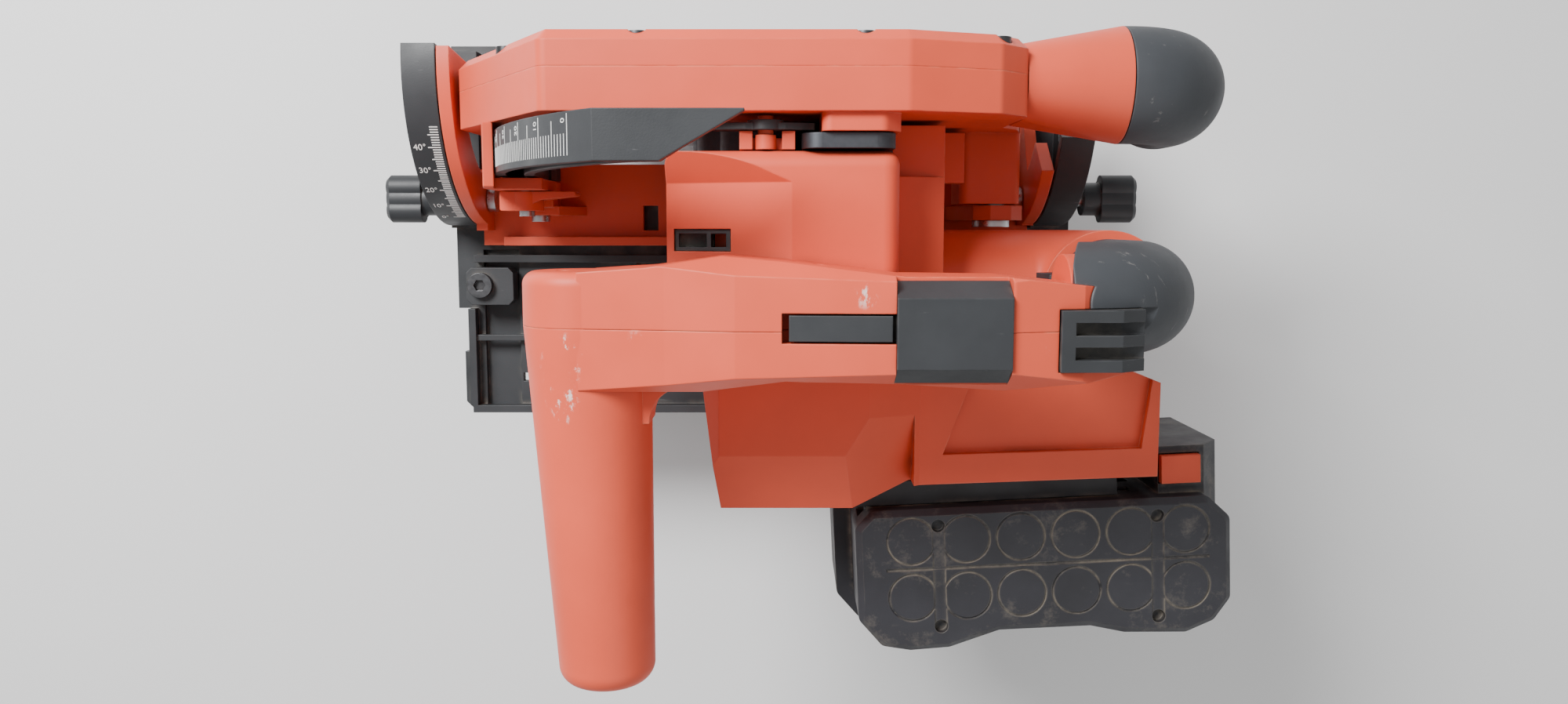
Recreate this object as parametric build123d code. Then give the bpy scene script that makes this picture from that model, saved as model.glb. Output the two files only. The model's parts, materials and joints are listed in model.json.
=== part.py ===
from build123d import *
import os
from math import cos, sin, tan, radians, degrees, pi, acos

os.makedirs("parts", exist_ok=True)

# Frame: +X forward, +Y to the motor side, +Z up. The origin is on the sole, straight below the
# arbor, in the plane of the blade. Millimetres.

# ---- blade and arbor
BLADE_R = 95.0
BLADE_HALF = 0.65
BLADE_TEETH = 24
ARBOR_Z = 30.0
ARBOR_R = 8.0
BOLT_R = 4.0
FLANGE_R = 20.0

# ---- base
BASE_FRONT = 121.0
BASE_REAR = -130.5
BASE_RIGHT = -28.0
BASE_LEFT = 121.0
SOLE_T = 4.0
RIM_Z = 9.0
SLOT_FRONT = 102.0
SLOT_RIGHT = -12.5
SLOT_LEFT = 34.0
FENCE_X = 103.0

# ---- bevel hinge
BEVEL_Y = -12.0
BEVEL_Z = 11.0
BEVEL_R = 56.0
BEVEL_SLOT_R = 46.0
BEVEL_MAX = 50.0
KNOB_ANGLE = 8.0
STUD_R = 3.0
HUB_R = 6.3
QUAD_T = 12.0
QUAD_WEB = 3.5
FRONT_ARC_TOP = 98.0
REAR_ARC_TOP = 64.0
FRONT_WALL_X = 104.0
WALL_T = 4.5
REAR_WALL_X = -108.0

# ---- depth hinge and arc
PIVOT_X = -92.0
PIVOT_Z = 40.0
PIVOT_R = 5.0
ARC_R = 182.0
ARC_BAND = 13.0
ARC_LOW = -4.0
ARC_TOP = 44.5
ARC_Y0 = 12.6
ARC_Y1 = 26.5
CLAMP_R = 175.5
CLAMP_ANGLE = 0.5

# ---- upper guard
GUARD_RIGHT = -14.0
GUARD_PART = -3.0
GUARD_LEFT = 10.0
GUARD_FRONT = 101.6
GUARD_REAR = -90.0
GUARD_ROOM_R = 99.2
GUARD_TOP = 133.0

# ---- lower guard
LOWER_R = 98.4
HUB_BOSS_R = 20.4

# ---- spindle lock: pin of the lever
LOCK_PIN = (-8.0, 122.0)

# ---- chip chute
CHUTE_Y = -2.0
CHUTE_Z = 92.0
CHUTE_R = 19.0
CHUTE_SEAT_R = 11.0
CHUTE_END = -124.0
PORT_BEND = 19.6

# ---- gear train: motor pinion, intermediate pair, spindle gear
MOD_1 = 1.0
MOD_2 = 1.25
PINION_1 = 12
WHEEL_1 = 33
PINION_2 = 12
WHEEL_2 = 28
C1 = MOD_1 * (PINION_1 + WHEEL_1) / 2
C2 = MOD_2 * (PINION_2 + WHEEL_2) / 2
MID_ANGLE = 96.0
MOTOR_ANGLE = 116.0
MID_X = C2 * cos(radians(MID_ANGLE))
MID_Z = ARBOR_Z + C2 * sin(radians(MID_ANGLE))
MOTOR_X = MID_X + C1 * cos(radians(MOTOR_ANGLE))
MOTOR_Z = MID_Z + C1 * sin(radians(MOTOR_ANGLE))
GEAR2_Y = (12.8, 18.4)
GEAR1_Y = (20.0, 25.2)

# ---- housings
CASE_LEFT = 28.0
BLOCK_FRONT = 23.5
BLOCK_REAR = -49.0
BLOCK_TOP = 128.0
NOSE_Y = 21.2
STEP_REAR = -66.0
BRIDGE_Y = 11.6
SHOULDER = [(1, 23, BLOCK_TOP), (-16, 30.7, BLOCK_TOP), (30, 30.7, 111)]
BLOCK_LEFT = 92.0
HOUSING_TOP = 104.0
HOUSING_LEFT = 140.0
HOUSING_REAR = -144.0

# ---- handle
HANDLE_RIGHT = 52.0
HANDLE_PART = 73.0
HANDLE_LEFT = 92.0
AUX_X = 45.1
AUX_Z = 136.0
AUX_R = 18.9
AUX_END = 183.5
AUX_START = 57.0
AUX_TAPER = 4.4
FILLET_R = 11.0
FILLET_Z = (128, 144)
KEY_Z = 155.5
LOCK_OFF_PIVOT = (-56.0, 161.6)
GRIP_R = 17.0
GRIP_Y = 65.5
GRIP_BACK = 124.5
GRIP_TOP = 143.0
GRIP_BEND = 30.0
LINK_R = 22.0
LINK_BEND = 24.0

# ---- battery
BATT_FRONT = -38.0
BATT_REAR = -172.0
BATT_TOP = 84.0
BATT_BOTTOM = 8.0
BATT_IN = 141.5
BATT_OUT = 193.0
BATT_SPLIT = 50.0
BATT_X = -101.0
BATT_Y = 165.0
BATT_TURN = 2.8
CELL_PITCH = 19.3
RING_ROWS = (20.0, 20.4)
CELL_ROWS = (17.5, 18.7)
CELL_R = 9.0


# ---------------------------------------------------------------- helpers
def block(x, y, z):
    """Box between the pairs x, y and z."""
    size = (x[1] - x[0], y[1] - y[0], z[1] - z[0])
    return Pos((x[0] + x[1]) / 2, (y[0] + y[1]) / 2, (z[0] + z[1]) / 2) * Box(*size)


def outline(points, corner=0):
    """Closed polygon with rounded corners."""
    face = make_face(Polyline(*points, close=True))
    return fillet(face.vertices(), corner) if corner else face


def side_prism(points, y, corner=0):
    """Outline in X and Z, extruded along Y."""
    return extrude(Plane.XZ.offset(-y[0]) * outline(points, corner), -(y[1] - y[0]))


def end_prism(points, x, corner=0):
    """Outline in Y and Z, extruded along X."""
    return extrude(Plane.YZ.offset(x[0]) * outline(points, corner), x[1] - x[0])


def plan_prism(points, z, corner=0):
    """Outline in X and Y, extruded along Z."""
    return extrude(Plane.XY.offset(z[0]) * outline(points, corner), z[1] - z[0])


def above(p, q, r, size=160):
    """Half space over the plane through three points, as a big box."""
    normal = (Vector(*q) - Vector(*p)).cross(Vector(*r) - Vector(*p))
    normal = normal * (1 if normal.Z > 0 else -1)
    return extrude(Plane(origin=p, z_dir=normal) * Rectangle(size, size), size)


def rod_y(x, z, r, y):
    return Pos(x, (y[0] + y[1]) / 2, z) * Rot(90, 0, 0) * Cylinder(r, y[1] - y[0])


def rod_x(y, z, r, x):
    return Pos((x[0] + x[1]) / 2, y, z) * Rot(0, 90, 0) * Cylinder(r, x[1] - x[0])


def rod_z(x, y, r, z):
    return Pos(x, y, (z[0] + z[1]) / 2) * Cylinder(r, z[1] - z[0])


def ring_y(x, z, outer, inner, y):
    return rod_y(x, z, outer, y) - rod_y(x, z, inner, y)


def polar(cx, cz, r, angle):
    return (cx + r * cos(radians(angle)), cz + r * sin(radians(angle)))


def sector(plane, center, outer, inner, a0, a1, depth):
    """Band between two true arcs, extruded."""
    cx, cy = center
    band = Circle(outer) - Circle(inner)
    mid = (a0 + a1) / 2
    half = (a1 - a0) / 2
    far = 3 * outer
    wedge = [(0, 0)] + [polar(0, 0, far, mid + half * k) for k in (-1, -0.33, 0.33, 1)]
    shape = band & outline(wedge)
    return extrude(plane * Pos(cx, cy) * shape, depth)


def export(name, shape):
    """Write one node, as a compound of its separate solids."""
    solids = shape if isinstance(shape, list) else shape.solids()
    out = solids[0] if len(solids) == 1 else Compound(children=list(solids))
    export_step(out, f"parts/{name}.step")


def involute_gear(teeth, module, y, x, z, turn, bore, backlash=0.16):
    """Spur gear about an axis along Y, turned so that one tooth points along `turn` degrees."""
    pitch_r = teeth * module / 2
    base_r = pitch_r * cos(radians(20))
    tip_r = pitch_r + 0.9 * module
    root_r = pitch_r - 1.2 * module
    inv = lambda r: tan(acos(base_r / r)) - acos(base_r / r)
    half = (pi / 2 * module - backlash) / (2 * pitch_r) + inv(pitch_r)
    start = max(root_r, base_r)
    radii = [start + (tip_r - start) * k / 5 for k in range(6)]
    flank = [(r, degrees(half - inv(r))) for r in radii]
    if root_r < start:
        flank = [(root_r, flank[0][1])] + flank
    points = []
    for i in range(teeth):
        mid = turn + 360 * i / teeth
        points += [polar(0, 0, r, mid - a) for r, a in flank]
        points += [polar(0, 0, r, mid + a) for r, a in reversed(flank)]
    sketch = outline(points)
    body = extrude(Plane.XZ.offset(-y[0]) * Pos(x, z) * sketch, -(y[1] - y[0]))
    return body - rod_y(x, z, bore, y)


# ---------------------------------------------------------------- base
FRONT_QUAD_X = (BASE_FRONT - QUAD_T, BASE_FRONT)
REAR_QUAD_X = (REAR_WALL_X - WALL_T - 0.8 - QUAD_T, REAR_WALL_X - WALL_T - 0.8)
QUAD_MID = [(FRONT_QUAD_X[0] + FRONT_QUAD_X[1]) / 2, (REAR_QUAD_X[0] + REAR_QUAD_X[1]) / 2]
SCREW_PLACES = [(x, y) for x in QUAD_MID for y in (-20, 38)]
GUIDE_SCREW = (FENCE_X + 6, 68)


def base_plate():
    front_edge = [(BASE_FRONT, BASE_RIGHT), (BASE_FRONT, 78), (BASE_FRONT - 5, 78), (BASE_FRONT - 5, 96),
                  (BASE_FRONT - 2, 96), (BASE_FRONT - 2, 117), (BASE_FRONT - 6, BASE_LEFT)]
    rear_edge = [(BASE_REAR + 6, BASE_LEFT), (BASE_REAR, 115), (BASE_REAR, BASE_RIGHT)]
    plate = plan_prism(front_edge + rear_edge, (0, SOLE_T))
    x0, x1 = BASE_REAR, BASE_FRONT
    plate += block((x0 + 6, x1 - 6), (BASE_LEFT - 3, BASE_LEFT), (0, RIM_Z))
    plate += block((x1 - 8, x1 - 5), (78, BASE_LEFT - 3), (0, RIM_Z))
    plate += block((x0 + 6, x0 + 9), (56, BASE_LEFT - 3), (0, RIM_Z))
    plate += block((x0 + 6, x1 - 8), (56, 59), (0, RIM_Z))
    for x in (-96, -48, 0, 48):
        plate += block((x - 1.2, x + 1.2), (59, BASE_LEFT - 3), (0, RIM_Z - 1.5))
    plate += block((x0 + 9, x1 - 8), (88.8, 91.2), (0, RIM_Z - 1.5))
    for x in (-112, -72, -24, 24, 72):
        plate += rod_z(x, 104, 5, (0, SOLE_T + 1)) - rod_z(x, 104, 3.8, (SOLE_T, SOLE_T + 1))
    plate -= block((-SLOT_FRONT, SLOT_FRONT), (SLOT_RIGHT, SLOT_LEFT), (-1, RIM_Z + 1))
    plate -= block((86, 95), (105, 108.5), (-1, SOLE_T + 1))
    plate -= block((FENCE_X - 7.2, FENCE_X + 7.2), (54, BASE_LEFT + 1), (1, 5.6))
    for x, y in SCREW_PLACES:
        plate -= rod_z(x, y, 2.05, (-1, 6))
    return plate


def guide_clamp_block():
    body = block((FENCE_X - 7, FENCE_X + 12), (61, 76), (5.8, 14))
    body = chamfer(body.edges().filter_by(Axis.Z), 2)
    return body - rod_z(*GUIDE_SCREW, 3.05, (0, 20))


def guide_clamp_screw():
    x, y = GUIDE_SCREW
    screw = rod_z(x, y, 3, (5.8, 14.4)) + rod_z(x, y, 5, (14.2, 17))
    socket = extrude(Plane.XY.offset(15.2) * Pos(x, y) * RegularPolygon(2.4, 6), 3)
    return screw - socket


def quadrant(x, web_x, top):
    """Bevel quadrant: foot, thin outer web with a curved slot, wide rim, hub for the pivot pin."""
    center = (BEVEL_Y, BEVEL_Z)
    before_web = Plane.YZ.offset(web_x - 1)
    band = sector(Plane.YZ.offset(x[0]), center, BEVEL_R, BEVEL_R - 3.5, 0, top, QUAD_T)
    web = sector(Plane.YZ.offset(web_x), center, BEVEL_R - 1, 0.01, 0, top, QUAD_WEB)
    web += rod_x(BEVEL_Y, BEVEL_Z, HUB_R, (web_x, web_x + QUAD_WEB))
    body = band + web + block(x, (BASE_RIGHT + 3, BEVEL_Y + BEVEL_R + 1), (SOLE_T, BEVEL_Z))
    body -= sector(before_web, center, BEVEL_SLOT_R + 3.4, BEVEL_SLOT_R - 3.4,
                   KNOB_ANGLE - 5, min(KNOB_ANGLE + BEVEL_MAX + 5, top - 2), QUAD_WEB + 2)
    body -= sector(before_web, center, BEVEL_SLOT_R - 9, 16, 22, min(74, top - 10), QUAD_WEB + 2)
    for sx, sy in SCREW_PLACES:
        body -= rod_z(sx, sy, 2, (0, 10))
    return body - rod_x(BEVEL_Y, BEVEL_Z, 3, (x[0] - 1, x[1] + 1))


def front_bevel_quadrant():
    return quadrant(FRONT_QUAD_X, FRONT_QUAD_X[1] - QUAD_WEB, FRONT_ARC_TOP)


def rear_bevel_quadrant():
    """Ends low and is cut back beside the upper guard, which swings down past it."""
    body = quadrant(REAR_QUAD_X, REAR_QUAD_X[0], REAR_ARC_TOP)
    return body - block((REAR_QUAD_X[0] - 1, REAR_QUAD_X[1] + 1), (-40, GUARD_LEFT + 0.8), (52.5, 100))


def quadrant_screws():
    return [rod_z(x, y, 2, (0.3, 10)).solid() for x, y in SCREW_PLACES]


def bevel_pivot_pins():
    front = rod_x(BEVEL_Y, BEVEL_Z, 3, (FRONT_WALL_X - 0.5, FRONT_QUAD_X[1] - 0.1))
    rear = rod_x(BEVEL_Y, BEVEL_Z, 3, (REAR_QUAD_X[0] + 0.1, REAR_WALL_X + 0.5))
    return [front.solid(), rear.solid()]


# ---------------------------------------------------------------- tilt frame
def wall_sector(x0, top, arm):
    """Upright wall that follows the quadrant, with an arm between two angles to the hub of the pivot pin."""
    plane = Plane.YZ.offset(x0)
    wall = sector(plane, (BEVEL_Y, BEVEL_Z), BEVEL_R, BEVEL_R - 17, 2, top, WALL_T)
    wall += sector(plane, (BEVEL_Y, BEVEL_Z), BEVEL_R - 16, 0.01, arm[0], arm[1], WALL_T)
    wall += rod_x(BEVEL_Y, BEVEL_Z, HUB_R, (x0, x0 + WALL_T))
    return wall - rod_x(BEVEL_Y, BEVEL_Z, 3.05, (x0 - 1, x0 + WALL_T + 1))


def stud_place():
    return polar(BEVEL_Y, BEVEL_Z, BEVEL_SLOT_R, KNOB_ANGLE)


def tilt_frame():
    """Frame that tilts: plate beside the blade, an upright wall at each end, ears for the depth hinge."""
    rear0 = REAR_WALL_X - WALL_T
    front1 = FRONT_WALL_X + WALL_T
    plate = block((rear0, front1), (36.5, 52), (5, 9))
    plate += block((34, front1), (19.5, 37), (5, 9)) + block((rear0, -56), (22, 37), (5, 9))
    plate += block((-101, 99), (48.5, 52), (9, 15))
    plate -= block((37.5, 43.5), (36, 46), (4, 10))
    plate += wall_sector(FRONT_WALL_X, FRONT_ARC_TOP - 1, (60, FRONT_ARC_TOP - 1))
    plate += wall_sector(rear0, 50, (2, 26))
    plate += block((rear0, REAR_WALL_X), (22, 44), (5, 20)) + block((FRONT_WALL_X, front1), (22, 46), (5, 20))
    plate += side_prism([(-104, 8), (-78, 8), (-84, 48), (-90, 51), (-98, 49), (-103, 44)], (36.5, 42))
    plate += side_prism([(66, 8), (88, 8), (89, 27), (84, 30), (74, 28)], (36.5, 40))
    plate += block((76, 88), (27, 37), (14, 30))
    plate -= block((-200, 200), (-60, 200), (-20, 5))
    plate -= rod_y(PIVOT_X, PIVOT_Z, PIVOT_R, (30, 50))
    y, z = stud_place()
    plate -= rod_x(y, z, STUD_R, (-200, 200))
    return plate - rod_y(*ARC_SCREW, 2, (20, 50))


FRONT_HEAD_X = BASE_FRONT + 8
REAR_HEAD_X = REAR_QUAD_X[0] - 13
KNOB_LENGTH = 14.0
ARC_SCREW = (82, 24)


def bevel_bolts():
    """Two clamp bolts, each with its steel washer."""
    y, z = stud_place()
    x0 = FRONT_WALL_X - 0.4
    front = rod_x(y, z, STUD_R, (x0, FRONT_HEAD_X + 6)) + rod_x(y, z, 5, (x0 - 3, x0))
    rear_x = REAR_WALL_X + 0.4
    rear = rod_x(y, z, STUD_R, (REAR_HEAD_X - 6, rear_x)) + rod_x(y, z, 5, (rear_x, rear_x + 3))
    front_washer = rod_x(y, z, 7, (BASE_FRONT + 0.1, BASE_FRONT + 1.3))
    front_washer -= rod_x(y, z, STUD_R + 0.02, (110, 125))
    rear_washer = rod_x(y, z, 7, (REAR_QUAD_X[0] - 1.3, REAR_QUAD_X[0] - 0.1))
    rear_washer -= rod_x(y, z, STUD_R + 0.02, (-140, -110))
    return [front.solid(), rear.solid(), front_washer.solid(), rear_washer.solid()]


def lobed_knob(x, direction):
    """Clamp knob with three round wings and a neck, on the bevel stud."""
    y, z = stud_place()
    star = Circle(7.2)
    for i in range(3):
        star += Pos(*polar(0, 0, 5.2, 30 + 120 * i)) * Circle(4.8)
    head = extrude(Plane.YZ.offset(x) * Pos(y, z) * star, KNOB_LENGTH * direction)
    knob = chamfer(head.faces().sort_by(Axis.X)[-1 if direction > 0 else 0].edges(), 1.6)
    knob += rod_x(y, z, 6.5, sorted((x - 6.5 * direction, x)))
    return knob - rod_x(y, z, STUD_R + 0.04, sorted((x - 8 * direction, x + 9 * direction)))


def front_bevel_knob():
    return lobed_knob(FRONT_HEAD_X, 1)


def rear_bevel_knob():
    return lobed_knob(REAR_HEAD_X, -1)


def depth_arc():
    """Graduated arc around the depth hinge: slotted band, flat rear wing, foot on the tilt frame."""
    center = (PIVOT_X, PIVOT_Z)
    width = ARC_Y1 - ARC_Y0
    band = sector(Plane.XZ.offset(-ARC_Y1), center, ARC_R, ARC_R - ARC_BAND, ARC_LOW - 4, ARC_TOP, width)
    x_top, z_top = polar(PIVOT_X, PIVOT_Z, ARC_R, ARC_TOP)
    inner = polar(PIVOT_X, PIVOT_Z, ARC_R - ARC_BAND, ARC_TOP)
    side = [(x_top, z_top), (-3, z_top), (-3, z_top - 4), (14, z_top - 4), inner]
    wing = side_prism(side, (ARC_Y0, ARC_Y1))
    plan = [(-4, ARC_Y0), (-4, ARC_Y1 + 1), (20, ARC_Y1 + 1), (20, ARC_Y1)]
    cut = plan_prism(plan, (z_top - 30, z_top + 1))
    arc = band + (wing - cut) + block((76, 87), (ARC_Y0, ARC_Y1), (14, 32))
    arc -= sector(Plane.XZ.offset(-ARC_Y1 - 1), center, CLAMP_R + 3.2, CLAMP_R - 3.2,
                  CLAMP_ANGLE - 1.5, ARC_TOP - 1, width + 2)
    return arc - rod_y(*ARC_SCREW, 2, (0, 50))


def depth_pivot_pin():
    pin = rod_y(PIVOT_X, PIVOT_Z, PIVOT_R, (11.5, 43.5))
    return pin + rod_y(PIVOT_X, PIVOT_Z, 7, (42, 44.5))


def arc_screw():
    return rod_y(*ARC_SCREW, 2, (14, 40.2)) + rod_y(*ARC_SCREW, 3.6, (40, 42.5))


# ---------------------------------------------------------------- upper guard
GUARD_SIDE = [(GUARD_FRONT, 13), (GUARD_FRONT, 64), (59, GUARD_TOP), (-51, GUARD_TOP), (-80, GUARD_TOP - 10),
              (GUARD_REAR, 113), (GUARD_REAR, 72), (-97, 62), (-101, 46), (-84, 32), (-74, 13)]
GUARD_SCREWS = [(-38, 127.5), (30, 127.5), (76.3, 97.5), (-80, 117)]


def blade_room():
    """Room inside the upper guard for the blade and the lower guard."""
    return rod_y(0, ARBOR_Z, GUARD_ROOM_R, (-11.4, 8))


def chute_room():
    seat = rod_x(CHUTE_Y, CHUTE_Z, CHUTE_SEAT_R + 0.05, (-140, -76))
    return seat + rod_x(CHUTE_Y, CHUTE_Z, CHUTE_SEAT_R - 2, (-140, -62))


def guard_outer():
    shell = side_prism(GUARD_SIDE, (GUARD_RIGHT, GUARD_PART), 4)
    shell = chamfer(shell.faces().sort_by(Axis.Y)[0].edges(), 3.2)
    shell -= blade_room() + chute_room()
    shell -= block((-66, 66), (GUARD_RIGHT - 1, GUARD_PART), (0, ARBOR_Z - 8))
    shell -= rod_y(0, ARBOR_Z, 26, (GUARD_RIGHT - 1, GUARD_PART))
    for x, z in GUARD_SCREWS:
        shell -= rod_y(x, z, 1.8, (GUARD_RIGHT - 1, GUARD_PART + 1))
        shell -= rod_y(x, z, 3.6, (GUARD_RIGHT - 1, GUARD_RIGHT + 3))
    return shell


def guard_inner():
    shell = side_prism(GUARD_SIDE, (GUARD_PART, GUARD_LEFT), 4)
    boss = side_prism([(-25, 100), (-25, 131), (-44, 131), (-49, 126), (-49, 100)], (GUARD_LEFT, 15.6))
    boss = fillet(boss.edges().filter_by(Axis.Y).group_by(Axis.Z)[-1], 3)
    lug = side_prism([(72, 32), (86, 32), (90, 44), (86, 58), (72, 58)], (GUARD_LEFT, 12.2), 3)
    ear = side_prism([(-78, 30), (-94, 28), (-101, 34), (-101, 50), (-78, 54)], (GUARD_LEFT, 36), 3)
    shell += boss + lug + ear
    shell -= blade_room() + chute_room()
    x, z = polar(PIVOT_X, PIVOT_Z, CLAMP_R, CLAMP_ANGLE)
    shell -= rod_y(x, z, 3, (9, 20))
    shell -= rod_y(PIVOT_X, PIVOT_Z, PIVOT_R + 0.05, (11.4, 40))
    shell -= rod_y(0, ARBOR_Z, 24, (4, 20))
    for sx, sz in GUARD_SCREWS:
        shell -= rod_y(sx, sz, 1.8, (GUARD_PART - 1, GUARD_PART + 9))
    return shell


def guard_screws():
    screws = []
    for x, z in GUARD_SCREWS:
        shaft = rod_y(x, z, 1.8, (GUARD_RIGHT + 1, GUARD_PART + 8))
        head = rod_y(x, z, 3.5, (GUARD_RIGHT + 0.4, GUARD_RIGHT + 3))
        socket = rod_y(x, z, 1.6, (GUARD_RIGHT, GUARD_RIGHT + 1.6))
        screws.append((shaft + head - socket).solid())
    return screws


def chip_chute():
    """Neck that widens from the flat guard to the round port."""
    root = Plane.YZ.offset(GUARD_REAR - 0.2) * Pos(CHUTE_Y, CHUTE_Z) * RectangleRounded(24.4, 41, 11.5)
    circle = RectangleRounded(2 * CHUTE_R, 2 * CHUTE_R, CHUTE_R - 0.1)
    mouth = Plane.YZ.offset(CHUTE_END) * Pos(CHUTE_Y, CHUTE_Z) * circle
    neck = loft([root, mouth], ruled=True)
    neck += rod_x(CHUTE_Y, CHUTE_Z, CHUTE_SEAT_R, (GUARD_REAR - 1, -80))
    bore = rod_x(CHUTE_Y, CHUTE_Z, CHUTE_SEAT_R - 2, (-130, -60))
    bore += Pos(CHUTE_END + 5, CHUTE_Y, CHUTE_Z) * Rot(0, 90, 0) * Cylinder(CHUTE_R - 2.6, 14)
    return neck - bore - blade_room()


def port_elbow(r, start, stop):
    """Straight entry, quarter turn downwards and spigot, as one solid of radius r."""
    x_turn = CHUTE_END - 1.4
    straight = rod_x(CHUTE_Y, CHUTE_Z, r, (x_turn, start))
    ring = Plane.YZ.offset(x_turn) * Pos(CHUTE_Y, CHUTE_Z) * Circle(r)
    turn = revolve(ring, Axis((x_turn, CHUTE_Y, CHUTE_Z - PORT_BEND), (0, 1, 0)), -90)
    spigot = rod_z(x_turn - PORT_BEND, CHUTE_Y, r, (CHUTE_Z - PORT_BEND - stop, CHUTE_Z - PORT_BEND))
    return straight + turn + spigot


def dust_port():
    collar = rod_x(CHUTE_Y, CHUTE_Z, CHUTE_R - 2.9, (CHUTE_END - 1, CHUTE_END + 9))
    return port_elbow(CHUTE_R, CHUTE_END - 0.4, 8) + collar - port_elbow(CHUTE_R - 5.2, CHUTE_END + 20, 20)


# ---------------------------------------------------------------- gear case and drive
def case_profile(grow):
    """Union of the discs that cover the three shafts."""
    shape = Pos(0, ARBOR_Z) * Circle(21.5 + grow)
    shape += Pos(MID_X, MID_Z) * Circle(20.5 + grow)
    shape += Pos(MOTOR_X, MOTOR_Z) * Circle(21 + grow)
    shape += outline([(21.0 + grow, ARBOR_Z), (MOTOR_X + 20 + grow, MOTOR_Z),
                      (MOTOR_X - 20 - grow, MOTOR_Z), (-21.0 - grow, ARBOR_Z)])
    return shape


def xz_extrude(sketch, y):
    return extrude(Plane.XZ.offset(-y[0]) * sketch, -(y[1] - y[0]))


def gear_case():
    body = xz_extrude(case_profile(0), (10.4, CASE_LEFT))
    body += side_prism([(-19, 92), (-46, 92), (-48, 129), (-19, 129)], (16.0, 20.6), 6)
    body -= xz_extrude(case_profile(-2), (12.4, CASE_LEFT - 2))
    body += rod_y(0, ARBOR_Z, HUB_BOSS_R, (5.0, 10.5))
    body -= rod_y(0, ARBOR_Z, 14, (4, 10.5))
    body -= rod_y(0, ARBOR_Z, 11.0, (9, 12.5))
    body -= rod_y(0, ARBOR_Z, 9, (9, 40))
    body -= rod_y(MOTOR_X, MOTOR_Z, 8, (20, 40))
    for x, z, r in ((MID_X, MID_Z, 4), (MOTOR_X, MOTOR_Z, 4)):
        body -= rod_y(x, z, r + 0.05, (10, CASE_LEFT - 1))
    return body


def shaft_bearings():
    """Ball bearings of the arbor and of the motor, as plain rings."""
    rings = [ring_y(0, ARBOR_Z, 11, 8.03, (10.6, 12.4)),
             ring_y(0, ARBOR_Z, 9, 6.03, (CASE_LEFT - 2, CASE_LEFT + 3)),
             ring_y(MOTOR_X, MOTOR_Z, 8, 4.03, (CASE_LEFT - 2, CASE_LEFT + 3)),
             ring_y(MOTOR_X, MOTOR_Z, 8, 4.03, (108, 113))]
    return [ring.solid() for ring in rings]


def arbor():
    shaft = rod_y(0, ARBOR_Z, 8, (-0.9, 19.4)) + rod_y(0, ARBOR_Z, 6, (19, CASE_LEFT + 4))
    return shaft - rod_y(0, ARBOR_Z, BOLT_R, (-10, 12))


def spindle_gear():
    return involute_gear(WHEEL_2, MOD_2, GEAR2_Y, 0, ARBOR_Z, MID_ANGLE, ARBOR_R)


def intermediate_gear():
    half_tooth = 180 / PINION_2
    pinion = involute_gear(PINION_2, MOD_2, (GEAR2_Y[0], GEAR1_Y[0]), MID_X, MID_Z,
                           MID_ANGLE + 180 + half_tooth, 3.9)
    wheel = involute_gear(WHEEL_1, MOD_1, GEAR1_Y, MID_X, MID_Z, MOTOR_ANGLE, 3.9)
    return pinion + wheel + rod_y(MID_X, MID_Z, 4, (10.6, CASE_LEFT - 1.2))


def motor_rotor():
    half_tooth = 180 / PINION_1
    pinion = involute_gear(PINION_1, MOD_1, (GEAR1_Y[0] - 0.5, GEAR1_Y[1] + 0.3), MOTOR_X, MOTOR_Z,
                           MOTOR_ANGLE + 180 + half_tooth, 3.9)
    shaft = rod_y(MOTOR_X, MOTOR_Z, 4, (GEAR1_Y[0] - 0.5, 114))
    magnets = rod_y(MOTOR_X, MOTOR_Z, 15, (54, 96))
    return pinion + shaft + magnets


def cooling_fan():
    hub = ring_y(MOTOR_X, MOTOR_Z, 8, 4, (38, 48))
    disc = ring_y(MOTOR_X, MOTOR_Z, 26, 7, (46.5, 48))
    fan = hub + disc
    for i in range(9):
        blade = Pos(MOTOR_X, 42.5, MOTOR_Z) * Rot(0, 40 * i, 0) * Pos(16.5, 0, 0) * Box(18, 9, 1.4)
        fan += blade
    return fan


def motor_stator():
    ring = ring_y(MOTOR_X, MOTOR_Z, 28, 22, (56, 94))
    for i in range(6):
        tooth = Pos(MOTOR_X, 75, MOTOR_Z) * Rot(0, 60 * i, 0) * Pos(19.5, 0, 0) * Box(7, 38, 8)
        ring += tooth
    return ring - rod_y(MOTOR_X, MOTOR_Z, 15.7, (50, 100))


def inner_flange():
    disc = rod_y(0, ARBOR_Z, FLANGE_R, (0.95, 3.4)) + rod_y(0, ARBOR_Z, 13, (3.2, 6.2))
    return disc - rod_y(0, ARBOR_Z, ARBOR_R, (0, 8))


def outer_flange():
    disc = rod_y(0, ARBOR_Z, FLANGE_R, (-3.4, -0.95))
    return disc - rod_y(0, ARBOR_Z, BOLT_R, (-8, 0))


def blade_bolt():
    head = extrude(Plane.XZ.offset(3.5) * Pos(0, ARBOR_Z) * RegularPolygon(7, 6), 4.5)
    washer = rod_y(0, ARBOR_Z, 8, (-4.6, -3.5))
    shaft = rod_y(0, ARBOR_Z, BOLT_R, (-4, 11))
    return head + washer + shaft


def saw_blade():
    points = []
    for i in range(BLADE_TEETH):
        a = 360 * i / BLADE_TEETH
        points += [polar(0, 0, BLADE_R - 4, a - 8), polar(0, 0, BLADE_R, a - 1), polar(0, 0, BLADE_R - 9, a)]
    plate = outline(points) - Circle(ARBOR_R)
    for i in range(4):
        plate -= Pos(*polar(0, 0, 72, 45 + 90 * i)) * Circle(2.5)
    return xz_extrude(Pos(0, ARBOR_Z) * plate, (-BLADE_HALF, BLADE_HALF))


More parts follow.
